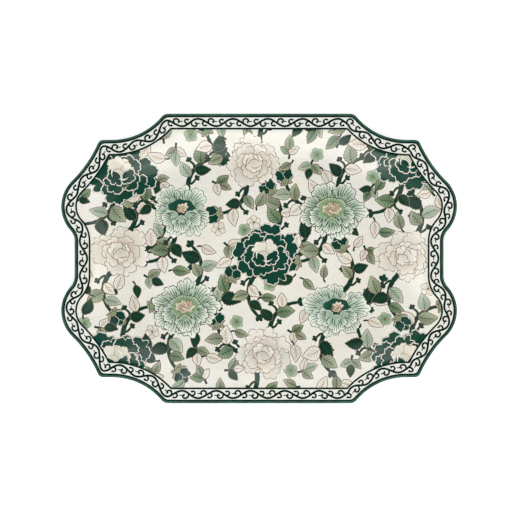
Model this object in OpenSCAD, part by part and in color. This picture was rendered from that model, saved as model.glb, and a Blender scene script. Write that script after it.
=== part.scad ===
// Shallow serving tray of pressed sheet steel, with a lobed outline and a rim
// rolled over a stiffening wire, lacquered and painted on its face.
// Millimetres. +X runs along the tray, +Z is up, and the origin is at the centre
// of the underside, on the table.

/* [Tray] */
// Overall length, over the rolled rim
tray_length = 410; // [390:1:430]
// Overall width, over the rolled rim
tray_width = 300; // [290:1:320]
// Overall height, from the table to the top of the rim
tray_height = 20; // [17:0.5:26]

/* [Outline] */
// Depth of the step between the long edge and a shoulder
step_depth = 27; // [22:0.5:30]
// Radius of the concave notch that joins the long edge to a shoulder
notch_radius = 67.5; // [55:0.5:75]
// Distance from the middle of the tray to a shoulder corner
shoulder_x = 165.5; // [160:0.5:170]
// Length of the straight shoulder
shoulder_length = 13; // [8:0.5:18]
// Radius of the rounded lobe at each end of a short side
lobe_radius = 37; // [32:0.5:42]
// Distance from the middle of the tray to a lobe's centre, across the tray
lobe_y = 54; // [50:0.5:58]
// Radius of the concave flank between a shoulder corner and a lobe
flank_radius = 124; // [110:1:140]
// Depth of the straight waist between the two lobes of a short side
waist_depth = 14; // [11:0.5:16]
// Radius of the concave fillet between a lobe and the waist
waist_radius = 16.5; // [12:0.5:20]
// Rounding of the shoulder and long edge corners at the rim
corner_round = 4.5; // [3:0.5:6]

/* [Dish] */
// Length of the flat floor
floor_length = 266; // [250:1:276]
// Width of the flat floor
floor_width = 182; // [170:1:190]
// Squareness of the floor: 2 is an ellipse, and more is nearer a rectangle
floor_squareness = 3; // [2.4:0.1:4]
// Distance from the rim's edge to the inside of the flat border
border_width = 16.6; // [14:0.2:18]
// Rise of the border from its inside to the rim
border_rise = 1; // [0.5:0.1:2]

/* [Metal and paint] */
// Thickness of the sheet steel
sheet = 0.8; // [0.6:0.05:1]
// Diameter of the wire in the rolled rim
wire_d = 3; // [2.5:0.1:3.5]
// Thickness of the lacquer coats
coat = 0.15; // [0.1:0.01:0.25]
// Thickness of the painted lines
paint = 0.06; // [0.05:0.01:0.1]
// Width of the green band on the rim, from the edge
band_width = 2.6; // [2.4:0.1:4]
// Width of the painted line beside the green band
outer_line_width = 1.5; // [0.8:0.1:2]
// Width of the painted line at the inside of the border
inner_line_width = 1.9; // [1:0.1:2.5]

/* [Hidden] */

half_length = tray_length / 2;
half_width = tray_width / 2;

// Rolled rim: the sheet wraps the wire with a little play.
roll_play = 0.1;
roll_inner = wire_d / 2 + roll_play;
roll_outer = roll_inner + sheet;
rim_inset = coat + roll_outer;
rim_z = tray_height - coat - roll_outer;
// The roll runs from the top of the wire, round its outside, to this angle.
roll_end = -180;
roll_steps = 6;
// The green coat wraps the rim from its top to its underside.
band_steps = 4;

// Dish: the wall's section is a cubic curve from the floor to the border, as
// shares of the wall's width and height.
wall_section = [[0, 0], [0.6, 0], [0.78, 0.955], [1, 1]];
wall_steps = 8;
border_z = rim_z + roll_outer - border_rise;
wall_height = border_z - sheet;
wire_sides = 8;

// Outline: centres of the arcs, in the quarter where X and Y are positive.
shoulder_y = half_width - step_depth;
shoulder = [shoulder_x, shoulder_y];
notch = [shoulder_x - shoulder_length, shoulder_y + notch_radius];
lobe = [half_length - lobe_radius, lobe_y];
flank = circle_meeting(lobe, lobe_radius + flank_radius, shoulder, flank_radius);
waist_x = half_length - waist_depth;
waist_centre_x = waist_x + waist_radius;
waist = [
    waist_centre_x,
    lobe.y - sqrt(pow(lobe_radius + waist_radius, 2) - pow(waist_centre_x - lobe.x, 2))
];

// The point right of the line from p to q that is a from p and b from q.
function circle_meeting(p, a, q, b) =
    let (
        d = norm(q - p),
        along = (a * a - b * b + d * d) / (2 * d),
        aside = sqrt(a * a - along * along),
        u = (q - p) / d
    )
    p + along * u + aside * [u.y, -u.x];

function bearing(from, to) = atan2(to.y - from.y, to.x - from.x);
function on_circle(c, r, angle) = c + r * [cos(angle), sin(angle)];
// Points of an arc without its last one.
function arc(c, r, a0, a1, n) = [for (i = [0 : n - 1]) on_circle(c, r, a0 + (a1 - a0) * i / n)];
function line(p, q, n) = [for (i = [0 : n - 1]) p + (q - p) * i / n];
function bend(p, q, r, n) = [
    for (i = [0 : n - 1]) let (t = i / n) (1 - t) * (1 - t) * p + 2 * t * (1 - t) * q + t * t * r
];
function degrees(length, radius) = length / radius * 180 / PI;

// A quarter of the outline set in by w, from the middle of a long edge to the
// middle of a waist.
function quarter(w) =
    let (
        round = corner_round * max(0.2, 1 - w / 20),
        top_y = half_width - w,
        notch_r = notch_radius + w,
        edge_corner = [notch.x - sqrt(notch_r * notch_r - pow(notch.y - top_y, 2)), top_y],
        notch_start = bearing(notch, edge_corner) + 360 + degrees(round, notch_r),
        notch_end = [notch.x, shoulder_y - w],
        flank_r = flank_radius + w,
        corner_y = shoulder_y - w,
        shoulder_corner = [flank.x - sqrt(flank_r * flank_r - pow(corner_y - flank.y, 2)), corner_y],
        flank_start = bearing(flank, shoulder_corner) + 360 + degrees(round, flank_r),
        flank_end = bearing(flank, lobe) + 360,
        before_edge = edge_corner - [round, 0],
        before_shoulder = shoulder_corner - [round, 0],
        after_edge = on_circle(notch, notch_r, notch_start),
        after_shoulder = on_circle(flank, flank_r, flank_start)
    )
    concat(
        line([0, top_y], before_edge, 2),
        bend(before_edge, edge_corner, after_edge, 3),
        arc(notch, notch_r, notch_start, 270, 5),
        line(notch_end, before_shoulder, 1),
        bend(before_shoulder, shoulder_corner, after_shoulder, 3),
        arc(flank, flank_r, flank_start, flank_end, 4),
        arc(lobe, lobe_radius - w, flank_end - 180, 0, 6),
        arc(lobe, lobe_radius - w, 0, bearing(lobe, waist), 6),
        arc(waist, waist_radius + w, bearing(waist, lobe), 180, 3),
        [[waist_x - w, waist.y]],
        [[waist_x - w, 0]]
    );

// The whole outline set in by w, clockwise from above, from the quarter by mirroring.
function outline(w) =
    let (q = quarter(w), last = len(q) - 1)
    concat(
        [for (i = [0 : last]) q[i]],
        [for (i = [1 : last]) [q[last - i].x, -q[last - i].y]],
        [for (i = [1 : last]) [-q[i].x, -q[i].y]],
        [for (i = [1 : last - 1]) [-q[last - i].x, q[last - i].y]]
    );
ring_size = len(outline(0));

// Distance from the centre to the floor's edge, in the direction of p.
function floor_reach(p) =
    let (
        u = p / norm(p),
        across = pow(abs(u.x) / (floor_length / 2), floor_squareness),
        along = pow(abs(u.y) / (floor_width / 2), floor_squareness)
    )
    pow(across + along, -1 / floor_squareness);

function cubic(p, t) =
    pow(1 - t, 3) * p[0] + 3 * t * pow(1 - t, 2) * p[1] + 3 * t * t * (1 - t) * p[2] + t * t * t * p[3];
function cubic_slope(p, t) =
    let (d = pow(1 - t, 2) * (p[1] - p[0]) + 2 * t * (1 - t) * (p[2] - p[1]) + t * t * (p[3] - p[2]))
    d.y / d.x;

// A ring of the wall's upper face, a share t up its section, raised by lift
// measured square to the face.
function wall_ring(t, lift) =
    let (s = cubic(wall_section, t), grade = cubic_slope(wall_section, t))
    [
        for (p = outline(border_width))
            let (
                reach = floor_reach(p),
                width = norm(p) - reach,
                tilt = grade * wall_height / width,
                xy = p / norm(p) * (reach + s.x * width)
            )
            [xy.x, xy.y, sheet + s.y * wall_height + lift * sqrt(1 + tilt * tilt)]
    ];

// A ring of the border's upper face, set in by w and raised by lift.
function border_ring(w, lift) =
    let (z = border_z + border_rise * (border_width - w) / (border_width - rim_inset))
    [for (p = outline(w)) [p.x, p.y, z + lift]];

// A ring round the rolled rim at an angle about the wire, 0 at the outside.
function roll_ring(r, angle) =
    [for (p = outline(rim_inset - r * cos(angle))) [p.x, p.y, rim_z + r * sin(angle)]];

function roll_angle(i) = 90 + (roll_end - 90) * i / roll_steps;
line_start = band_width + outer_line_width;
line_end = border_width - inner_line_width;
border_insets = [line_end, line_start, band_width];

// The upper face from the floor's edge out to the inside of the green band.
function face_outward(lift) = concat(
    [for (i = [0 : wall_steps]) wall_ring(i / wall_steps, lift)],
    [for (w = border_insets) border_ring(w, lift)]
);
function reversed(list) = [for (i = [len(list) - 1 : -1 : 0]) list[i]];

function flat(rings) = [for (r = rings, p = r) p];
function strip(k, next) = [
    for (i = [0 : ring_size - 1])
        let (a = k * ring_size, b = next * ring_size, j = (i + 1) % ring_size)
        each [[a + i, a + j, b + i], [a + j, b + j, b + i]]
];
function turned(faces, turn) = turn ? [for (f = faces) [f[2], f[1], f[0]]] : faces;

// A solid skinned over rings and closed at both ends by flat caps.
module capped(rings, turn) {
    count = len(rings);
    first = count * ring_size;
    points = concat(flat(rings), [[0, 0, rings[0][0].z], [0, 0, rings[count - 1][0].z]]);
    caps = [
        for (i = [0 : ring_size - 1])
            let (j = (i + 1) % ring_size, b = (count - 1) * ring_size)
            each [[first, j, i], [first + 1, b + i, b + j]]
    ];
    sides = [for (k = [0 : count - 2]) each strip(k, k + 1)];
    polyhedron(points, turned(concat(sides, caps), turn), convexity = 6);
}

// A solid skinned over rings that close on themselves.
module looped(rings, turn) {
    count = len(rings);
    sides = [for (k = [0 : count - 1]) each strip(k, (k + 1) % count)];
    polyhedron(flat(rings), turned(sides, turn), convexity = 6);
}

// Pressed sheet: floor, wall, border and the roll round the wire, in one skin.
module pan() {
    color("#1c4a3d")
    capped(concat(
        face_outward(-sheet),
        [for (i = [0 : roll_steps]) roll_ring(roll_inner, roll_angle(i))],
        [for (i = [roll_steps : -1 : 0]) roll_ring(roll_outer, roll_angle(i))],
        reversed(face_outward(0))
    ), false);
}

// Wire that stiffens the rim, a closed loop inside the roll.
module rim_wire() {
    color("#8f9496")
    looped([for (i = [0 : wire_sides - 1]) roll_ring(wire_d / 2, 90 - 360 * i / wire_sides)], false);
}

// Cream lacquer over the floor, wall and border, up to the green band.
module ground_coat() {
    color("#e8e5da")
    capped(concat(face_outward(coat), reversed(face_outward(0))), true);
}

// Green lacquer over the rolled rim.
module rim_coat() {
    color("#215a49")
    looped(concat(
        [border_ring(band_width, coat)],
        [for (i = [0 : band_steps]) roll_ring(roll_outer + coat, roll_angle(i))],
        [for (i = [band_steps : -1 : 0]) roll_ring(roll_outer, roll_angle(i))],
        [border_ring(band_width, 0)]
    ), true);
}

// A painted line round the border between two insets.
module painted_line(inside, outside) {
    color("#14302a")
    looped([
        border_ring(inside, coat),
        border_ring(outside, coat),
        border_ring(outside, coat + paint),
        border_ring(inside, coat + paint)
    ], false);
}

module outer_line() {
    painted_line(line_start, band_width);
}

module inner_line() {
    painted_line(border_width, line_end);
}

pan();
rim_wire();
ground_coat();
rim_coat();
outer_line();
inner_line();
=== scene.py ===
import math
import bpy
import numpy as np
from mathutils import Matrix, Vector
from mathutils.geometry import delaunay_2d_cdt


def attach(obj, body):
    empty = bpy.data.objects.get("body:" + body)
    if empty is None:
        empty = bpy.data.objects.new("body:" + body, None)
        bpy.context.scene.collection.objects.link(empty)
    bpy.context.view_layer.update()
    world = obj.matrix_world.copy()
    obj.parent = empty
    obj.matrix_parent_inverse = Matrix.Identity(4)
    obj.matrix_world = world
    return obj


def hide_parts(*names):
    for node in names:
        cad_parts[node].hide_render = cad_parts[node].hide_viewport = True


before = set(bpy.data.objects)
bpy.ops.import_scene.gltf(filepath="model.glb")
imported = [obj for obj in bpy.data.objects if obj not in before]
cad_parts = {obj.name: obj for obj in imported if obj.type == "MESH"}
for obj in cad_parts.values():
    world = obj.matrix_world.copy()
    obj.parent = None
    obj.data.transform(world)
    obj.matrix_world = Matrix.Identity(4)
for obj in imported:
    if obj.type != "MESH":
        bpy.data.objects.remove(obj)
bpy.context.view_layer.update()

# The tray's smooth surfaces and its painted face. Lengths are in millimetres,
# and places on the face are complex numbers, x + y i, seen from above.
MM = 0.001

# --- Sizes of the pressed sheet, as in the frame ---

HALF_LENGTH = 205.0
HALF_WIDTH = 150.0
HEIGHT = 20.0
STEP_DEPTH = 27.0
NOTCH_RADIUS = 67.5
SHOULDER_X = 165.5
SHOULDER_LENGTH = 13.0
LOBE_RADIUS = 37.0
LOBE_Y = 54.0
FLANK_RADIUS = 124.0
WAIST_DEPTH = 14.0
WAIST_RADIUS = 16.5
CORNER_ROUND = 4.5

FLOOR_HALF_LENGTH = 133.0
FLOOR_HALF_WIDTH = 91.0
FLOOR_SQUARENESS = 3.0
BORDER_WIDTH = 16.6
BORDER_RISE = 1.0
WALL_SECTION = ((0, 0), (0.6, 0), (0.78, 0.955), (1, 1))

SHEET = 0.8
COAT = 0.15
ROLL_INNER = 1.6
ROLL_OUTER = ROLL_INNER + SHEET
RIM_INSET = COAT + ROLL_OUTER
RIM_Z = HEIGHT - COAT - ROLL_OUTER
ROLL_END = -180
BAND_WIDTH = 2.6
OUTER_LINE_END = BAND_WIDTH + 1.5
INNER_LINE_START = BORDER_WIDTH - 1.9
BORDER_Z = RIM_Z + ROLL_OUTER - BORDER_RISE
WALL_HEIGHT = BORDER_Z - SHEET

# Points of a quarter outline, over each of its stretches.
FINE = 5


# --- Outline ---

def turn(degrees):
    return complex(math.cos(math.radians(degrees)), math.sin(math.radians(degrees)))


def bearing(start, end):
    return math.degrees(math.atan2((end - start).imag, (end - start).real))


def arc(centre, radius, start, end, count):
    """Points of an arc without its last one."""
    return [centre + radius * turn(start + (end - start) * i / count) for i in range(count)]


def line(start, end, count):
    return [start + (end - start) * i / count for i in range(count)]


def bend(start, middle, end, count):
    """Points of a quadratic curve without its last one."""
    steps = [i / count for i in range(count)]
    return [(1 - t) ** 2 * start + 2 * t * (1 - t) * middle + t * t * end for t in steps]


def circle_meeting(p, a, q, b):
    """The point right of the line from p to q that is a from p and b from q."""
    d = abs(q - p)
    along = (a * a - b * b + d * d) / (2 * d)
    return p + (along - 1j * math.sqrt(a * a - along * along)) * (q - p) / d


SHOULDER_Y = HALF_WIDTH - STEP_DEPTH
SHOULDER = complex(SHOULDER_X, SHOULDER_Y)
NOTCH = complex(SHOULDER_X - SHOULDER_LENGTH, SHOULDER_Y + NOTCH_RADIUS)
LOBE = complex(HALF_LENGTH - LOBE_RADIUS, LOBE_Y)
FLANK = circle_meeting(LOBE, LOBE_RADIUS + FLANK_RADIUS, SHOULDER, FLANK_RADIUS)
WAIST_X = HALF_LENGTH - WAIST_DEPTH
WAIST_CENTRE_X = WAIST_X + WAIST_RADIUS
WAIST_DROP = math.sqrt((LOBE_RADIUS + WAIST_RADIUS) ** 2 - (WAIST_CENTRE_X - LOBE.real) ** 2)
WAIST = complex(WAIST_CENTRE_X, LOBE_Y - WAIST_DROP)


def quarter(w):
    """A quarter of the outline set in by w, from a long edge to a waist."""
    rounding = CORNER_ROUND * max(0.2, 1 - w / 20)
    top_y = HALF_WIDTH - w
    notch_r = NOTCH_RADIUS + w
    flank_r = FLANK_RADIUS + w
    corner_y = SHOULDER_Y - w
    edge_x = NOTCH.real - math.sqrt(notch_r ** 2 - (NOTCH.imag - top_y) ** 2)
    shoulder_x = FLANK.real - math.sqrt(flank_r ** 2 - (corner_y - FLANK.imag) ** 2)
    edge_corner = complex(edge_x, top_y)
    shoulder_corner = complex(shoulder_x, corner_y)
    notch_start = bearing(NOTCH, edge_corner) + 360 + math.degrees(rounding / notch_r)
    flank_start = bearing(FLANK, shoulder_corner) + 360 + math.degrees(rounding / flank_r)
    flank_end = bearing(FLANK, LOBE) + 360
    after_edge = NOTCH + notch_r * turn(notch_start)
    after_shoulder = FLANK + flank_r * turn(flank_start)
    before_edge = edge_corner - rounding
    before_shoulder = shoulder_corner - rounding
    notch_end = complex(NOTCH.real, corner_y)
    points = line(complex(0, top_y), before_edge, 8 * FINE)
    points += bend(before_edge, edge_corner, after_edge, FINE)
    points += arc(NOTCH, notch_r, notch_start, 270, 5 * FINE)
    points += line(notch_end, before_shoulder, FINE)
    points += bend(before_shoulder, shoulder_corner, after_shoulder, FINE)
    points += arc(FLANK, flank_r, flank_start, flank_end, 4 * FINE)
    points += arc(LOBE, LOBE_RADIUS - w, flank_end - 180, 0, 4 * FINE)
    points += arc(LOBE, LOBE_RADIUS - w, 0, bearing(LOBE, WAIST), 4 * FINE)
    points += arc(WAIST, WAIST_RADIUS + w, bearing(WAIST, LOBE), 180, 3 * FINE)
    points += line(complex(WAIST_X - w, WAIST.imag), complex(WAIST_X - w, 0), 2 * FINE)
    return np.array(points + [complex(WAIST_X - w, 0)])


def outline(w):
    """The whole outline set in by w, clockwise from above."""
    q = quarter(w)
    back = q[-2::-1]
    return np.concatenate([q, back.conj(), -q[1:], -back[:-1].conj()])


# --- The pressed face: floor, wall and border ---

WALL_TOP = outline(BORDER_WIDTH)
EDGE = outline(0)


def reach_table(ring):
    """Bearings and distances of a ring's points from the centre, in order."""
    angles = np.angle(ring)
    order = np.argsort(angles)
    return angles[order], np.abs(ring)[order]


def reach_of(table, angles):
    return np.interp(angles, table[0], table[1], period=2 * math.pi)


def softened(table, width):
    """A table of distances averaged over a window of bearings, in radians."""
    angles = np.linspace(-math.pi, math.pi, 721)[:-1]
    kernel = np.exp(-0.5 * (np.arange(-60, 61) * (angles[1] - angles[0]) / width) ** 2)
    values = reach_of(table, angles)
    wrapped = np.concatenate([values[-60:], values, values[:60]])
    return angles, np.convolve(wrapped, kernel / kernel.sum(), mode="valid")


TOP_REACH = reach_table(WALL_TOP)
SOFT_REACH = softened(TOP_REACH, 0.06)
EDGE_REACH = reach_table(EDGE)


def floor_reach(angles):
    across = (np.abs(np.cos(angles)) / FLOOR_HALF_LENGTH) ** FLOOR_SQUARENESS
    along = (np.abs(np.sin(angles)) / FLOOR_HALF_WIDTH) ** FLOOR_SQUARENESS
    return (across + along) ** (-1 / FLOOR_SQUARENESS)


def cubic(axis, t):
    p = [point[axis] for point in WALL_SECTION]
    return (1 - t) ** 3 * p[0] + 3 * t * (1 - t) ** 2 * p[1] + 3 * t * t * (1 - t) * p[2] + t ** 3 * p[3]


SECTION_STEPS = np.linspace(0, 1, 200)
SECTION_OUT = cubic(0, SECTION_STEPS)
SECTION_UP = cubic(1, SECTION_STEPS)


def height(places):
    """Height of the bare sheet's upper face at places on it."""
    rho = np.abs(places)
    angles = np.angle(places)
    inner = floor_reach(angles)
    outer = reach_of(TOP_REACH, angles)
    soft = reach_of(SOFT_REACH, angles)
    share = np.clip((rho - inner) / (outer - inner), 0, 1)
    outer = soft + (outer - soft) * share ** 2
    share = np.clip((rho - inner) / (outer - inner), 0, 1)
    wall = SHEET + WALL_HEIGHT * np.interp(share, SECTION_OUT, SECTION_UP)
    top = reach_of(TOP_REACH, angles)
    out = (rho - top) / (reach_of(EDGE_REACH, angles) - top)
    rise = BORDER_RISE * np.clip(out * BORDER_WIDTH / (BORDER_WIDTH - RIM_INSET), 0, 1)
    return wall + rise


def slopes(places, span=0.4):
    across = (height(places + span) - height(places - span)) / (2 * span)
    along = (height(places + 1j * span) - height(places - 1j * span)) / (2 * span)
    return across, along


def normals(places, side=1):
    across, along = slopes(places)
    n = np.stack([-across, -along, np.ones_like(across)], axis=1) * side
    return n / np.linalg.norm(n, axis=1)[:, None]


# --- Meshes ---

def linear(rgb):
    c = np.array(rgb) / 255
    return np.where(c <= 0.04045, c / 12.92, ((c + 0.055) / 1.055) ** 2.4)


def add_piece(name, points, faces, material):
    mesh = bpy.data.meshes.new(name)
    mesh.from_pydata((np.asarray(points) * MM).tolist(), [], faces)
    mesh.polygons.foreach_set("use_smooth", [True] * len(mesh.polygons))
    piece = bpy.data.objects.new(name, mesh)
    bpy.context.scene.collection.objects.link(piece)
    piece.data.materials.append(material)
    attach(piece, "root")
    return piece


def lifted(ring, z):
    return np.stack([ring.real, ring.imag, np.broadcast_to(z, ring.shape)], axis=1)


def roll_ring(radius, degrees):
    c = math.cos(math.radians(degrees))
    s = math.sin(math.radians(degrees))
    return lifted(outline(RIM_INSET - radius * c), RIM_Z + radius * s)


def skin(rings, turned=False):
    """Quads between neighbouring rings."""
    n = len(rings[0])
    faces = []
    for k in range(len(rings) - 1):
        for i in range(n):
            j = (i + 1) % n
            quad = (k * n + i, k * n + j, (k + 1) * n + j, (k + 1) * n + i)
            faces.append(quad[::-1] if turned else quad)
    return np.concatenate(rings), faces


# --- Paint: shapes laid over one another, the last one on top ---

CREAM = (228, 229, 225)
FIELD = (231, 229, 222)
LINE = (8, 34, 30)
DARK = (13, 58, 47)
DARK_EDGE = (17, 66, 53)
BROWN = (124, 86, 70)
UMBER = (78, 66, 52)
MARGIN = (231, 229, 221)

# Style: colour at the base, colour at the edge, veins, outline.
STYLES = {
    "sage": ((134, 150, 124), (188, 198, 172), (78, 66, 46), (104, 68, 52)),
    "moss": ((100, 130, 98), (160, 178, 144), (50, 50, 36), (88, 60, 44)),
    "mist": ((162, 182, 160), (206, 216, 198), (90, 102, 84), (126, 106, 90)),
    "dark": ((11, 50, 40), (16, 63, 50), (44, 70, 50), (112, 104, 82)),
    "pale": ((227, 225, 215), (230, 228, 219), (166, 140, 118), (112, 78, 60)),
}

PLACES = []
FACES = []
PAINTS = []
rng = np.random.default_rng(7)


def add_face(ids, paint):
    """Adds one flat shape, turned anticlockwise as seen from above."""
    p = np.array([PLACES[i] for i in ids])
    area = (p.conj() * np.roll(p, -1)).imag.sum() / 2
    if abs(area) < 1e-4:
        return
    FACES.append(ids if area > 0 else ids[::-1])
    PAINTS.append(paint)


def paint_of(inner, outer=None, origin=0, reach=1.0, vary=0.03):
    tone = 1 + rng.uniform(-vary, vary)
    outer = inner if outer is None else outer
    return (np.array(inner) * tone, np.array(outer) * tone, origin, reach)


def shape(points, inner, outer=None, origin=0, reach=1.0, vary=0.03):
    start = len(PLACES)
    PLACES.extend(points)
    add_face(list(range(start, len(PLACES))), paint_of(inner, outer, origin, reach, vary))


def stroke(points, width, colour):
    """A brush stroke along points, of one width or a width for each point."""
    p = np.asarray(points, complex)
    ahead = np.gradient(p)
    side = 0.5j * ahead / np.abs(ahead) * np.broadcast_to(width, p.shape)
    start = len(PLACES)
    PLACES.extend(np.stack([p + side, p - side], axis=1).ravel())
    paint = paint_of(colour)
    for i in range(start, start + 2 * len(p) - 2, 2):
        add_face([i, i + 1, i + 3], paint)
        add_face([i, i + 3, i + 2], paint)


def smooth(points, count=4):
    """A smooth line through points, with count steps between neighbours."""
    p = np.array(points, complex)
    p = np.concatenate([[2 * p[0] - p[1]], p, [2 * p[-1] - p[-2]]])
    t = np.linspace(0, 1, count, endpoint=False)
    parts = []
    for a, b, c, d in zip(p, p[1:], p[2:], p[3:]):
        even = 2 * b + (c - a) * t
        curved = (2 * a - 5 * b + 4 * c - d) * t ** 2 + (3 * b - a - 3 * c + d) * t ** 3
        parts.append(0.5 * (even + curved))
    return np.concatenate(parts + [p[-2:-1]])


def leaf(base, tip, width, style="sage", curl=0.06):
    """A toothed, pointed leaf with an outline, a shaded half, a midrib and veins."""
    inner, outer, vein, edge = STYLES[style]
    along = tip - base
    way = along / abs(along)
    t = np.linspace(0, 1, 15)
    middle = base + along * t + 1j * along * curl * 4 * t * (1 - t)
    half = width / 2 * np.sin(math.pi * t ** 0.8) * (1.12 - 0.24 * t)
    half = half * np.where(np.arange(15) % 2 == 0, 1.0, 1.17)

    def side(hand, grow):
        m = middle + way * grow * (2 * t - 1)
        return m + hand * 1j * way * (half + grow * np.sin(math.pi * t) ** 0.3)

    for grow, low, high in ((0.7, edge, None), (0.0, inner, outer)):
        shape(np.concatenate([side(1, grow)[:-1], side(-1, grow)[:0:-1]]), low, high, base, abs(along))
    if style != "pale":
        dark, light = np.array(inner) * 0.93, np.array(outer) * 0.95
        shape(np.concatenate([middle[:-1], side(-1, -0.15)[:0:-1]]), dark, light, base, abs(along) * 1.3)
    stroke(middle[[0, 3, 6, 9, 12]], [0.75, 0.65, 0.5, 0.4, 0.3], vein)
    if width < 6.5:
        return
    for start, end in ((2, 5), (4, 7), (6, 9), (8, 11)):
        for hand in (1, -1):
            foot = middle[start]
            head = middle[end] + hand * 1j * way * half[end] * 0.74
            stroke([foot, (foot + head) / 2 + 0.04 * along, head], [0.5, 0.42, 0.3], vein)


def branch(points, start_width, end_width, colour=DARK):
    """A woody stem that narrows along its length, with a brown edge."""
    p = smooth(points)
    width = np.linspace(start_width, end_width, len(p))
    width = width * (1 + 0.08 * np.cos(np.arange(len(p)) * 2.3))
    stroke(p, width + 0.7, UMBER)
    stroke(p, width, colour)


def ruffle(lobes, depth):
    """Angles round a petal and its reach at each: uneven lobes with small teeth."""
    a = np.linspace(-math.pi, math.pi, 9 * lobes + 8)[:-1]
    cuts = np.linspace(-RUFFLED, RUFFLED, lobes + 1)
    cuts[1:-1] += rng.uniform(-0.28, 0.28, lobes - 1) * (cuts[1] - cuts[0])
    lobe = np.clip(np.searchsorted(cuts, a) - 1, 0, lobes - 1)
    share = np.clip((a - cuts[lobe]) / (cuts[lobe + 1] - cuts[lobe]), 0, 1)
    peaks = rng.uniform(0.7, 1.5, lobes)[lobe]
    wave = peaks * np.sin(math.pi * share ** rng.uniform(0.7, 1.4, lobes)[lobe]) ** 0.7
    teeth = 0.45 * np.abs(np.sin(3 * math.pi * share))
    return a, 1 + depth * (wave + teeth - 0.85)


# Half the angle, in radians, over which a petal's edge is ruffled.
RUFFLED = 2.0

# Petal: colour at the base, colour at the edge, margin, outline, margin width, line width.
PETALS = {
    "dark": (DARK, DARK_EDGE, MARGIN, BROWN, 0.95, 0.3),
    "deep": (DARK, DARK_EDGE, (60, 84, 64), (60, 84, 64), 0.1, 0.25),
    "bud": (DARK, DARK_EDGE, MARGIN, (60, 84, 64), 0.45, 0.15),
    "heart": ((212, 198, 176), (222, 212, 194), (222, 212, 194), BROWN, 0.1, 0.5),
    "ivory": ((208, 207, 190), (228, 226, 215), (232, 230, 221), BROWN, 0.25, 0.5),
    "cream": ((202, 196, 180), (231, 229, 220), (232, 230, 221), (118, 84, 68), 0.2, 0.65),
    "frill": ((112, 144, 112), (231, 235, 225), (233, 236, 228), (48, 50, 38), 0.45, 0.9),
    "teal": ((132, 162, 142), (232, 237, 229), (234, 238, 231), (66, 82, 66), 0.45, 0.75),
    "blush": ((188, 170, 154), (230, 227, 217), (232, 230, 221), (118, 84, 68), 0.2, 0.6),
    "moss": ((104, 138, 108), (172, 191, 160), (200, 209, 190), (92, 78, 62), 0.2, 0.45),
}
HATCH = (36, 78, 60)


def petal(centre, degrees, length, width, style="dark", lobes=4, depth=0.2, hatch=0):
    inner, outer, margin, edge, gap, line = PETALS[style]
    way = turn(degrees)
    base = centre - way * length / 2
    a, reach = ruffle(lobes, depth)
    reach = reach / np.hypot(2 / length * np.cos(a), 2 / width * np.sin(a))
    for grow, low, high in ((gap + line, edge, None), (gap, margin, None), (0.0, inner, outer)):
        shape(centre + way * (reach + grow) * np.exp(1j * a), low, high, base, length)
    for b in np.linspace(-1.35, 1.35, hatch):
        rim = centre + way * np.interp(b, a, reach) * np.exp(1j * b) * 0.9
        low = base + (rim - base) * rng.uniform(0.42, 0.62)
        stroke([low, (low + rim) / 2 + 0.04j * (rim - low), rim], [0.85, 0.65, 0.4], HATCH)


def oval(centre, half_length, half_width, degrees=0, count=28, ruffle=0.0):
    a = np.arange(count) * 2 * math.pi / count
    grow = 1 + ruffle * np.cos(a * 7)
    return centre + turn(degrees) * grow * (half_length * np.cos(a) + 1j * half_width * np.sin(a))


def stamens(centre, half_length, half_width, count, colours):
    """Short curled strokes scattered over a flower's heart."""
    for k in range(count):
        r = math.sqrt((k + 0.5) / count)
        way = turn(k * 137.5)
        p = centre + r * (half_length * way.real + 1j * half_width * way.imag)
        curl = turn(rng.uniform(0, 360)) * rng.uniform(0.9, 1.5)
        stroke([p - curl, p + 0.5j * curl, p + curl], 0.55, colours[k % len(colours)])


# --- Flowers: rings of petals worked out round a centre ---

# How much lower than wide a flower is drawn.
TILT = 0.8
FLOWER_SCALE = 1.12


def ring(centre, start, count, reach, length, width, style, lobes, hatch=0):
    """One ring of petals, with the lowest drawn last, in front of its neighbours."""
    reach, length, width = [FLOWER_SCALE * value for value in (reach, length, width)]
    aims = [start + 360 * k / count + rng.uniform(-14, 14) for k in range(count)]
    for aim in sorted(aims, key=lambda degrees: -math.sin(math.radians(degrees))):
        way = turn(aim)
        out = reach * rng.uniform(0.86, 1.12) * complex(way.real, TILT * way.imag)
        size = rng.uniform(0.84, 1.2)
        petal(centre + out, aim, length * size, width * size, style, lobes, 0.3, hatch)


def folds(centre, size, width, colour):
    """Thin curved lines where petals turn over."""
    for start in (15, 140, 255):
        path = smooth([centre + size * (1 + 0.12 * k) * turn(start + 24 * k) for k in range(4)])
        stroke(path, np.interp(np.linspace(0, 1, len(path)), (0, 0.5, 1), (0.4, width, 0.3)), colour)


def dark_peony(centre, start):
    """The large dark flower: ruffled petals round a pale heart."""
    ring(centre, start, 7, 20, 20, 22, "dark", 4)
    ring(centre, start + 22, 5, 12, 19, 20, "dark", 4)
    ring(centre + 2j, start, 3, 5, 13, 15, "ivory", 4)
    petal(centre - 8j, 262, 12, 26, "deep", 5, 0.3)
    petal(centre - 5 - 5j, 215, 13, 15, "dark", 4, 0.3)
    petal(centre + 7 - 4j, 325, 13, 15, "dark", 4, 0.3)
    folds(centre, 7, 1.6, MARGIN)


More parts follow.
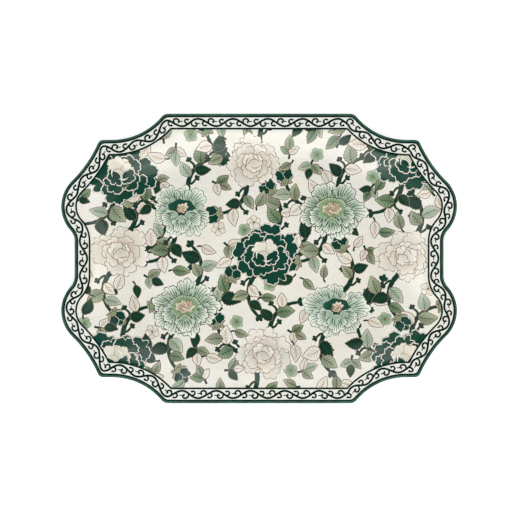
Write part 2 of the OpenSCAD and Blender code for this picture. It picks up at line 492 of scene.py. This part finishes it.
def light_peony(centre, start):
    """The light flower: a green bowl with a stippled heart and hatched petals."""
    ring(centre, start, 9, 19, 19, 16, "frill", 5, 9)
    heart = centre + 1j
    shape(oval(heart, 17.5, 12.6, 0, 70, 0.03), (58, 58, 42))
    shape(oval(heart, 16.7, 11.8, 0, 70, 0.03), (120, 150, 116), (206, 216, 194), heart, 17)
    for k in range(30):
        way = turn(k * 12)
        low = heart + complex(12.4 * way.real, 8.4 * way.imag)
        high = heart + complex(16.0 * way.real, 11.2 * way.imag)
        stroke([low, high], [1.0, 0.5], (58, 92, 68))
    for aim in (205, 335, 270):
        petal(centre + 15 * turn(aim), aim, 18, 17, "frill", 6, 0.3, 10)
    shape(oval(heart, 13.0, 8.8, 0, 70, 0.03), (92, 124, 84), (136, 160, 120), heart, 12)
    shape(oval(heart, 9.6, 6.2, 0, 42, 0.13), (190, 172, 148), (216, 206, 188), heart, 9)
    stamens(heart, 9.2, 5.9, 60, (BROWN, (146, 110, 92), (84, 118, 80), (232, 226, 210)))


def teal_peony(centre, start):
    """The light flower with a dark bowl and long hatched petals."""
    ring(centre, start, 8, 17, 19, 16, "teal", 5, 9)
    heart = centre + 1.5j
    shape(oval(heart, 14.4, 10.0, 0, 42, 0.06), (60, 72, 56))
    shape(oval(heart, 13.5, 9.2, 0, 42, 0.06), DARK, (30, 86, 70), heart, 13)
    for aim in (215, 325, 270):
        petal(centre + 13 * turn(aim), aim, 19, 16, "teal", 5, 0.3, 11)
    petal(heart, start, 13, 9, "heart", 6, 0.35)
    stamens(heart, 5.6, 3.4, 26, (BROWN, (150, 118, 98), (98, 116, 80)))


def pale_peony(centre, start):
    """The pale flower: overlapping cream petals with brown shading."""
    ring(centre, start, 7, 16, 18, 17, "cream", 5)
    ring(centre, start + 25, 6, 9, 15, 14, "blush", 4)
    ring(centre, start, 3, 3.5, 12, 12, "cream", 4)
    folds(centre, 6, 0.9, (112, 96, 78))


def bud(centre, degrees, size=1.0):
    """A dark bud of three petals that opens from a green calyx."""
    way = turn(degrees)
    for side, length in ((75, 9), (-75, 9), (120, 7), (-120, 7), (165, 5)):
        aim = turn(degrees + side)
        leaf(centre + aim, centre + size * length * aim, 3.4 * size, "sage")
    petal(centre + 9 * size * way, degrees, 10 * size, 9 * size, "bud", 3, 0.25)
    petal(centre + 6.5 * size * way * turn(36), degrees + 22, 13 * size, 8.5 * size, "bud", 3, 0.25)
    petal(centre + 6.5 * size * way * turn(-36), degrees - 22, 13 * size, 8.5 * size, "bud", 3, 0.25)
    shape(oval(centre, 3.4 * size, 2.8 * size, degrees + 90), BROWN)
    cup = oval(centre, 2.8 * size, 2.2 * size, degrees + 90)
    shape(cup, (118, 144, 108), (154, 174, 138), centre, 3 * size)


def knop(place, degrees, size=1.0):
    """A small three-lobed tip at a twig's end."""
    size = 0.8 * size
    for side in (-50, 0, 50):
        centre = place + 1.5 * size * turn(degrees + side)
        long = 2.3 if side == 0 else 1.7
        shape(oval(centre, long * size + 0.3, 1.1 * size + 0.3, degrees + side, 10), UMBER)
        shape(oval(centre, long * size, 1.1 * size, degrees + side, 10), DARK)


def posy(centre, degrees, style="moss", size=6.0):
    """A small five-petalled blossom."""
    for k in range(5):
        aim = turn(degrees + 72 * k)
        petal(centre + 0.55 * size * aim, degrees + 72 * k, size, 0.8 * size, style, 2, 0.2)
    shape(oval(centre, 1.1, 1.1, 0, 10), BROWN)
# --- The print: a half-drop repeat of four flowers, with sprays and leaves between ---

COLUMN = 75.0
ROW = 97.0
FLOWERS = (dark_peony, light_peony, pale_peony, teal_peony)
FLOWER_REACH = 29.0
LEAF_CYCLE = ("sage", "dark", "pale", "sage", "mist", "dark", "moss", "pale")
PRINT_HALF_LENGTH = 188.0
PRINT_HALF_WIDTH = 134.0

SPRIG_TRIES = 500
BLOSSOM_TRIES = 160
LEAF_TRIES = 1400

# Free space that each scattered motif needs, and how far each drawn one reaches.
SPRIG_GAP = 12
BLOSSOM_GAP = 9
LEAF_GAP = 7.6
LEAF_REACH = 4.5
BUD_REACH = 5
KNOP_REACH = 3
SCATTERED_REACH = 3

# Places already drawn on, each with its reach.
TAKEN = []


def flower_places():
    """Each column of flowers sits half a row off its neighbours."""
    places = []
    for column in range(-3, 4):
        for row in range(-2, 3):
            y = (row + 0.5 * (column % 2)) * ROW
            if abs(y) < PRINT_HALF_WIDTH and abs(column * COLUMN) < PRINT_HALF_LENGTH + FLOWER_REACH:
                nudge = complex(rng.uniform(-8, 8), rng.uniform(-8, 8))
                places.append((column, row, complex(column * COLUMN, y) + nudge))
    return places


def is_free(place, gap):
    """Whether a place is at least a gap away from all that is drawn so far."""
    return all(abs(place - other) > gap + reach for other, reach in TAKEN)


def draw_leaf(base, tip, width, number):
    TAKEN.append(((base + tip) / 2, LEAF_REACH))
    leaf(base, tip, width, LEAF_CYCLE[number % len(LEAF_CYCLE)], rng.uniform(-0.09, 0.09))


def spray(start, degrees, length, bend, number):
    """A curved stem with leaves on both sides and a bud or a knop at its end."""
    aims = np.linspace(degrees, degrees + bend, 6)
    path = start + np.concatenate([[0], np.cumsum([turn(aim) * length / 6 for aim in aims])])
    branch(path.tolist(), 4.8, 2.4)
    for k in (1, 3):
        twig = turn(aims[k] - (60 if k == 1 else -60))
        branch([path[k], path[k] + 5 * twig, path[k] + 10 * twig * turn(20)], 2.2, 1.4)
        TAKEN.append((path[k] + 8 * twig, KNOP_REACH))
        knop(path[k] + 10 * twig * turn(20), aims[k] + (-40 if k == 1 else 80), 1.5)
    for k, place in enumerate(path[2:5]):
        hand = 1 if k % 2 == 0 else -1
        aim = aims[k + 1] + hand * rng.uniform(48, 70)
        size = rng.uniform(15, 21)
        draw_leaf(place, place + size * turn(aim), size * rng.uniform(0.5, 0.66), number + k)
    TAKEN.append((path[-1], BUD_REACH))
    if number % 2 == 0:
        bud(path[-1], degrees + bend, 1.0)
    else:
        knop(path[-1], degrees + bend, 2.2)


def sprig(place, number):
    """A short twig with three leaves."""
    aim = rng.uniform(0, 360)
    foot = place - 8 * turn(aim)
    branch([foot, place - 3 * turn(aim + 8), place + 2 * turn(aim)], 1.8, 1.2)
    for k, off in enumerate((58, -58, 0)):
        base = place + (2 if off == 0 else -2) * turn(aim)
        size = rng.uniform(11, 15)
        draw_leaf(base, base + size * turn(aim + off), size * 0.58, number + k)


def scatter(tries, gap, draw):
    """Draws a motif at each free place that a seeded search finds."""
    for number in range(tries):
        x = rng.uniform(-PRINT_HALF_LENGTH, PRINT_HALF_LENGTH)
        place = complex(x, rng.uniform(-PRINT_HALF_WIDTH, PRINT_HALF_WIDTH))
        if is_free(place, gap):
            draw(place, number)
            TAKEN.append((place, SCATTERED_REACH))


def single_leaf(place, number):
    way = turn(rng.uniform(0, 360))
    size = rng.uniform(6.5, 9.5)
    foot = place - size * way
    branch([foot - 5 * way * turn(25), foot - 2 * way * turn(10), foot + way], 1.3, 0.9)
    draw_leaf(foot, place + size * way, size, number)


def blossom(place, number):
    posy(place, number * 37, "moss" if number % 2 == 0 else "ivory", 6.5)


def paint_field():
    """The floral print, from the pieces underneath to those on top."""
    places = flower_places()
    for _, _, centre in places:
        TAKEN.append((centre, FLOWER_REACH - 6))
    for number, (column, row, centre) in enumerate(places):
        hand = 1 if (column + row) % 2 == 0 else -1
        for aim in (70, 250):
            start = centre + 20 * turn(aim)
            spray(start, aim - hand * 20, 52, hand * 80, number + (aim > 180))
        side = 90 - hand * 90
        spray(centre + 18 * turn(side), side + hand * 15, 46, hand * 60, number + 1)
    scatter(SPRIG_TRIES, SPRIG_GAP, sprig)
    scatter(BLOSSOM_TRIES, BLOSSOM_GAP, blossom)
    scatter(LEAF_TRIES, LEAF_GAP, single_leaf)
    for column, row, centre in places:
        FLOWERS[(column + 2 * row) % len(FLOWERS)](centre, rng.uniform(0, 45))


# --- Border scroll ---

SCROLLS = 66
SCROLL_HEIGHT = 3.8
SCROLL_OUTER = outline(OUTER_LINE_END)
SCROLL_INNER = outline(INNER_LINE_START)
SCROLL_MIDDLE = (SCROLL_OUTER + SCROLL_INNER) / 2
SCROLL_TRAVEL = np.concatenate([[0], np.cumsum(np.abs(np.diff(np.append(SCROLL_MIDDLE, SCROLL_MIDDLE[0]))))])
SCROLL_STEP = SCROLL_TRAVEL[-1] / SCROLLS


def on_border(along, across):
    """Places a share along and across the border, in scroll steps and millimetres."""
    s = (np.asarray(along) % SCROLLS) * SCROLL_STEP
    ends = (np.append(SCROLL_INNER, SCROLL_INNER[0]), np.append(SCROLL_OUTER, SCROLL_OUTER[0]))
    inner, outer = [
        np.interp(s, SCROLL_TRAVEL, end.real) + 1j * np.interp(s, SCROLL_TRAVEL, end.imag) for end in ends
    ]
    share = 0.5 + np.asarray(across) / (INNER_LINE_START - OUTER_LINE_END)
    return inner + (outer - inner) * share


def curl(along, across, half_length, half_height, first, last, tightness):
    """Points of an elliptical curl, in scroll steps along the border and millimetres across it."""
    points = []
    for share in np.linspace(0, 1, 8):
        a = math.radians(first + (last - first) * share)
        reach = 1 - tightness * share
        points.append((along + reach * half_length * math.cos(a), across + reach * half_height * math.sin(a)))
    return points


# Curls under one arch of the scroll, and the leaf between them.
MAIN_CURL = curl(0.26, -1.5, 0.2, 3.0, 150, 430, 0.5)
SMALL_CURL = curl(0.86, -1.4, 0.17, 2.6, 50, 325, 0.35)
LEAF_TICK = curl(0.5, -1.9, 0.09, 1.0, 170, 20, 0)


def border_curl(start, hand, points, widths, count=4):
    path = smooth([complex(a, hand * b) for a, b in points], count)
    stroke(on_border(start + path.real, path.imag), np.interp(np.linspace(0, 1, len(path)), *widths), LINE)


def paint_border():
    """A running wave with a pair of opposed curls under each arch."""
    along = np.linspace(0, SCROLLS, SCROLLS * 12 + 1)
    stroke(on_border(along[:-1], SCROLL_HEIGHT * np.sin(math.pi * along[:-1])), 2.2, LINE)
    stroke(on_border(along[-2:], SCROLL_HEIGHT * np.sin(math.pi * along[-2:])), 2.2, LINE)
    for k in range(SCROLLS):
        hand = 1 if k % 2 == 0 else -1
        border_curl(k, hand, MAIN_CURL, ((0, 0.3, 0.8, 1), (1.7, 2.0, 1.8, 2.8)))
        border_curl(k, hand, SMALL_CURL, ((0, 0.3, 0.8, 1), (1.4, 1.9, 1.7, 2.7)))
        border_curl(k, hand, LEAF_TICK, ((0, 1), (1.4, 0.8)), 2)


# --- The painted face in one sheet, cut along every edge of the paint ---

def paint_face():
    """Fills the face's list of shapes and returns the numbers of its key shapes."""
    shape(outline(BAND_WIDTH), LINE, vary=0)
    shape(outline(OUTER_LINE_END), CREAM, vary=0)
    paint_border()
    inner_line = len(FACES)
    shape(outline(INNER_LINE_START), LINE, vary=0)
    shape(WALL_TOP, FIELD, vary=0)
    field = len(FACES) - 1
    paint_field()
    return inner_line, field


def wall_rings():
    """Loose points that carry the curve of the wall."""
    angles = np.angle(WALL_TOP)[::2]
    inner = floor_reach(angles)
    outer = reach_of(TOP_REACH, angles)
    shares = cubic(0, np.linspace(0, 0.985, 16))
    return np.concatenate([np.exp(1j * angles) * (inner + (outer - inner) * s) for s in shares])


def within(point, left, right, front, back):
    return left <= point.x <= right and front <= point.y <= back


def face_mesh(material):
    inner_line, field = paint_face()
    places = np.concatenate([np.array(PLACES), wall_rings()])
    flat = [Vector((p.real, p.imag)) for p in places]
    found, _, triangles, _, _, owners = delaunay_2d_cdt(flat, [], FACES, 0, 1e-4, True)
    corners = [places[ids] for ids in FACES]
    boxes = [(c.real.min(), c.real.max(), c.imag.min(), c.imag.max()) for c in corners]
    kept, tops = [], []
    for triangle, ids in zip(triangles, owners):
        if 0 not in ids:
            continue
        middle = sum((found[k] for k in triangle), Vector((0, 0))) / 3
        ids = [i for i in ids if within(middle, *boxes[i])]
        top = max(ids)
        if top > inner_line and field not in ids:
            top = max(i for i in ids if i <= inner_line)
        kept.append(triangle)
        tops.append(top)
    flat = np.array([complex(v.x, v.y) for v in found])
    used, kept = np.unique(np.array(kept), return_inverse=True)
    kept = kept.reshape(-1, 3)
    flat = flat[used]
    a, b, c = (flat[kept[:, k]] for k in range(3))
    kept[((b - a).conj() * (c - a)).imag < 0] = kept[((b - a).conj() * (c - a)).imag < 0][:, ::-1]
    normal = normals(flat)
    points = lifted(flat, height(flat)) + normal * COAT
    piece = add_piece("painted_face", points, kept.tolist(), material)
    piece.data.normals_split_custom_set_from_vertices(normal.tolist())
    tops = np.repeat(np.array(tops), 3)
    inner, outer, origins, reaches = (np.array([paint[k] for paint in PAINTS]) for k in range(4))
    share = np.clip(np.abs(flat[kept.ravel()] - origins[tops]) / reaches[tops], 0, 1)[:, None] ** 1.3
    colour = linear(np.clip(inner[tops] * (1 - share) + outer[tops] * share, 0, 255))
    layer = piece.data.color_attributes.new("paint", "FLOAT_COLOR", "CORNER")
    layer.data.foreach_set("color", np.column_stack([colour, np.ones(len(colour))]).ravel())
    return piece


# --- Rim and underside ---

def rim_mesh(material):
    edge = outline(BAND_WIDTH)
    rings = [lifted(edge, height(edge) + COAT)]
    rings += [roll_ring(ROLL_OUTER + COAT, a) for a in np.linspace(90, -90, 15)]
    return add_piece("rim_lacquer", *skin(rings), material)


def back_mesh(material):
    """The underside: floor, wall, border and the roll round the wire."""
    rings = []
    for share in np.concatenate([cubic(0, np.linspace(0, 1, 18)), [1]]):
        angles = np.angle(WALL_TOP)
        inner = floor_reach(angles)
        outer = reach_of(TOP_REACH, angles)
        ring = np.exp(1j * angles) * (inner + (outer - inner) * share)
        rings.append(lifted(ring, height(ring)) - normals(ring) * SHEET)
    rings[0][:, 2] = 0
    for w in (12, 8, 5.4):
        ring = outline(w)
        rings.append(lifted(ring, height(ring) - SHEET))
    rings += [roll_ring(ROLL_INNER, a) for a in np.linspace(90, ROLL_END, 12)]
    rings += [roll_ring(ROLL_OUTER, a) for a in np.linspace(ROLL_END, -90, 10)]
    points, faces = skin(rings, True)
    n = len(rings[0])
    faces.append(tuple(range(n)))
    return add_piece("lacquered_back", points, faces, material)


# --- Materials ---

def new_material(name, **values):
    """A Principled material, its node tree and its shader."""
    material = bpy.data.materials.new(name)
    material.use_nodes = True
    tree = material.node_tree
    shader = tree.nodes["Principled BSDF"]
    for key, value in values.items():
        shader.inputs[key.replace("_", " ")].default_value = value
    return material, tree, shader


def add_node(tree, kind, settings=(), **values):
    made = tree.nodes.new(kind)
    for key, value in dict(settings).items():
        setattr(made, key, value)
    for key, value in values.items():
        made.inputs[key.replace("_", " ")].default_value = value
    return made


def noise(tree, size_mm, detail=3.0, stretch=(1, 1, 1)):
    """Noise over the object, with blotches of about a size in millimetres."""
    places = add_node(tree, "ShaderNodeTexCoord")
    scaled = add_node(tree, "ShaderNodeMapping", Scale=stretch)
    made = add_node(tree, "ShaderNodeTexNoise", Scale=1 / (size_mm * MM), Detail=detail)
    tree.links.new(places.outputs["Object"], scaled.inputs["Vector"])
    tree.links.new(scaled.outputs["Vector"], made.inputs["Vector"])
    return made.outputs["Fac"]


def ranged(tree, value, low, high, start=0.3, end=0.7):
    made = add_node(tree, "ShaderNodeMapRange", (), From_Min=start, From_Max=end, To_Min=low, To_Max=high)
    tree.links.new(value, made.inputs["Value"])
    return made.outputs["Result"]


def mixed(tree, factor, first, second, blend="MIX"):
    """A mix of two colours, each a colour or a socket; the factor too may be either."""
    made = add_node(tree, "ShaderNodeMix", {"data_type": "RGBA", "blend_type": blend})
    for socket, value in ((made.inputs[0], factor), (made.inputs[6], first), (made.inputs[7], second)):
        if isinstance(value, bpy.types.NodeSocket):
            tree.links.new(value, socket)
        else:
            socket.default_value = value
    return made.outputs[2]


def grey(tree, value):
    made = add_node(tree, "ShaderNodeCombineColor")
    for k in range(3):
        tree.links.new(value, made.inputs[k])
    return made.outputs["Color"]


def rgba(rgb):
    return (*linear(rgb), 1)


def bumped(tree, shader, value, strength, distance_mm):
    made = add_node(tree, "ShaderNodeBump", (), Strength=strength, Distance=distance_mm * MM)
    tree.links.new(value, made.inputs["Height"])
    tree.links.new(made.outputs["Normal"], shader.inputs["Normal"])


def painted_lacquer():
    """Oil paint under clear lacquer: uneven brush tone, a soft ripple and a gloss."""
    gloss = {"Coat_Weight": 0.12, "Coat_Roughness": 0.08, "Specular_IOR_Level": 0.36}
    material, tree, shader = new_material("painted_lacquer", **gloss)
    paint = add_node(tree, "ShaderNodeAttribute", {"attribute_name": "paint"}).outputs["Color"]
    wash = mixed(tree, 1.0, paint, grey(tree, ranged(tree, noise(tree, 26), 0.965, 1.02)), "MULTIPLY")
    brush = mixed(tree, 1.0, wash, grey(tree, ranged(tree, noise(tree, 1.6, 2), 0.93, 1.04)), "MULTIPLY")
    aged = mixed(tree, ranged(tree, noise(tree, 70, 2), 0.0, 0.5), brush, rgba((250, 245, 228)), "MULTIPLY")
    tree.links.new(aged, shader.inputs["Base Color"])
    tree.links.new(ranged(tree, noise(tree, 14), 0.16, 0.26), shader.inputs["Roughness"])
    bumped(tree, shader, noise(tree, 7, 2), 0.12, 0.12)
    return material


def rim_lacquer():
    """Green lacquer on the rolled rim, rubbed lighter in places."""
    gloss = {"Coat_Weight": 0.08, "Coat_Roughness": 0.15, "Specular_IOR_Level": 0.25}
    material, tree, shader = new_material("rim_lacquer", **gloss)
    rubbed = ranged(tree, noise(tree, 9, 4), 0.0, 1.0, 0.42, 0.72)
    tone = mixed(tree, rubbed, rgba((18, 62, 49)), rgba((38, 92, 73)))
    specks = ranged(tree, noise(tree, 0.9, 2), 0.0, 0.35, 0.66, 0.74)
    tree.links.new(mixed(tree, specks, tone, rgba((104, 144, 124))), shader.inputs["Base Color"])
    tree.links.new(ranged(tree, noise(tree, 5), 0.3, 0.42), shader.inputs["Roughness"])
    bumped(tree, shader, noise(tree, 3, 3), 0.25, 0.1)
    return material


def back_lacquer():
    """Dark green-black lacquer on the underside, with faint scuffs."""
    material, tree, shader = new_material("back_lacquer", Coat_Weight=0.15, Coat_Roughness=0.2)
    tone = mixed(tree, ranged(tree, noise(tree, 40, 4), 0, 1), rgba((18, 44, 37)), rgba((28, 62, 51)))
    scuffs = ranged(tree, noise(tree, 14, 6, (1, 9, 1)), 0.0, 0.3, 0.6, 0.8)
    tree.links.new(mixed(tree, scuffs, tone, rgba((96, 112, 104))), shader.inputs["Base Color"])
    tree.links.new(ranged(tree, noise(tree, 18, 4), 0.28, 0.46), shader.inputs["Roughness"])
    bumped(tree, shader, noise(tree, 2.4, 3), 0.3, 0.08)
    return material


def wire_steel():
    """Bare drawn steel wire with light tarnish."""
    material, tree, shader = new_material("wire_steel", Metallic=1.0)
    tarnish = ranged(tree, noise(tree, 4, 4), 0, 1)
    steel = mixed(tree, tarnish, rgba((178, 180, 180)), rgba((118, 108, 98)))
    tree.links.new(steel, shader.inputs["Base Color"])
    tree.links.new(ranged(tree, noise(tree, 2), 0.3, 0.5), shader.inputs["Roughness"])
    return material


def table_white():
    material, tree, shader = new_material("table_white", Roughness=0.9, Specular_IOR_Level=0.1)
    tone = mixed(tree, ranged(tree, noise(tree, 300, 2), 0, 1), (0.93, 0.93, 0.93, 1), (0.96, 0.96, 0.96, 1))
    tree.links.new(tone, shader.inputs["Base Color"])
    tree.links.new(tone, shader.inputs["Emission Color"])
    shader.inputs["Emission Strength"].default_value = 0.5
    return material


# --- The tray ---

face = face_mesh(painted_lacquer())
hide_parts("ground_coat", "outer_line", "inner_line")

rim = rim_mesh(rim_lacquer())
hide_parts("rim_coat")

back = back_mesh(back_lacquer())
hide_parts("pan")

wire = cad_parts["rim_wire"]
for place in wire.material_slots:
    place.material = wire_steel()

# --- Table, light and camera ---

TABLE = 14.0
SENSOR = 36.0
LENS = 100.0
VIEW_WIDTH = 0.5344
CAMERA_RISE = VIEW_WIDTH * LENS / SENSOR
CAMERA_SHIFT_X = -0.0006
SOFTBOX_WIDTH = 1.3
SOFTBOX_HEIGHT = 0.9
SOFTBOX_REACH = 1.35
SOFTBOX_ELEVATION = 45
# Radiance of each softbox by its azimuth; the front one is the key light.
SOFTBOXES = {270: 2.2, 90: 1.0, 180: 0.7, 0: 0.7}
# The tent's cloth ends, and its opening begins, at these sines of the elevation.
TENT_TOP = 0.45
TENT_OPENING = 0.6
TENT_RADIANCE = 1.9
OPENING_RADIANCE = 0.05

table_mesh = bpy.data.meshes.new("table")
half = TABLE / 2
corners = [(-half, -half, 0), (half, -half, 0), (half, half, 0), (-half, half, 0)]
table_mesh.from_pydata(corners, [], [(0, 1, 2, 3)])
table_mesh.materials.append(table_white())
table = bpy.data.objects.new("table", table_mesh)
bpy.context.scene.collection.objects.link(table)


def softbox(azimuth, radiance):
    """A large soft light that leans over the table and faces the tray."""
    lamp = bpy.data.lights.new("softbox", "AREA")
    lamp.shape = "RECTANGLE"
    lamp.size = SOFTBOX_WIDTH
    lamp.size_y = SOFTBOX_HEIGHT
    lamp.energy = radiance * math.pi * SOFTBOX_WIDTH * SOFTBOX_HEIGHT
    holder = bpy.data.objects.new("softbox", lamp)
    a, e = math.radians(azimuth), math.radians(SOFTBOX_ELEVATION)
    way = Vector((math.cos(a) * math.cos(e), math.sin(a) * math.cos(e), math.sin(e)))
    holder.location = way * SOFTBOX_REACH
    holder.rotation_euler = way.to_track_quat("Z", "Y").to_euler()
    bpy.context.scene.collection.objects.link(holder)


for azimuth, radiance in SOFTBOXES.items():
    softbox(azimuth, radiance)


def studio_tent():
    """White cloth all round the table, with a dark opening above."""
    world = bpy.data.worlds.new("studio")
    world.use_nodes = True
    tree = world.node_tree
    way = add_node(tree, "ShaderNodeTexCoord").outputs["Generated"]
    split = add_node(tree, "ShaderNodeSeparateXYZ")
    tree.links.new(way, split.inputs["Vector"])
    rise = ranged(tree, split.outputs["Z"], TENT_RADIANCE, OPENING_RADIANCE, TENT_TOP, TENT_OPENING)
    tree.links.new(rise, tree.nodes["Background"].inputs["Strength"])
    tree.nodes["Background"].inputs["Color"].default_value = (1, 1, 1, 1)
    bpy.context.scene.world = world


studio_tent()

camera = bpy.data.cameras.new("camera")
camera.lens = LENS
camera.sensor_width = SENSOR
camera_holder = bpy.data.objects.new("camera", camera)
camera_holder.location = (CAMERA_SHIFT_X, 0, HEIGHT * MM + CAMERA_RISE)
bpy.context.scene.collection.objects.link(camera_holder)
bpy.context.scene.camera = camera_holder
bpy.context.scene.view_settings.view_transform = "Standard"
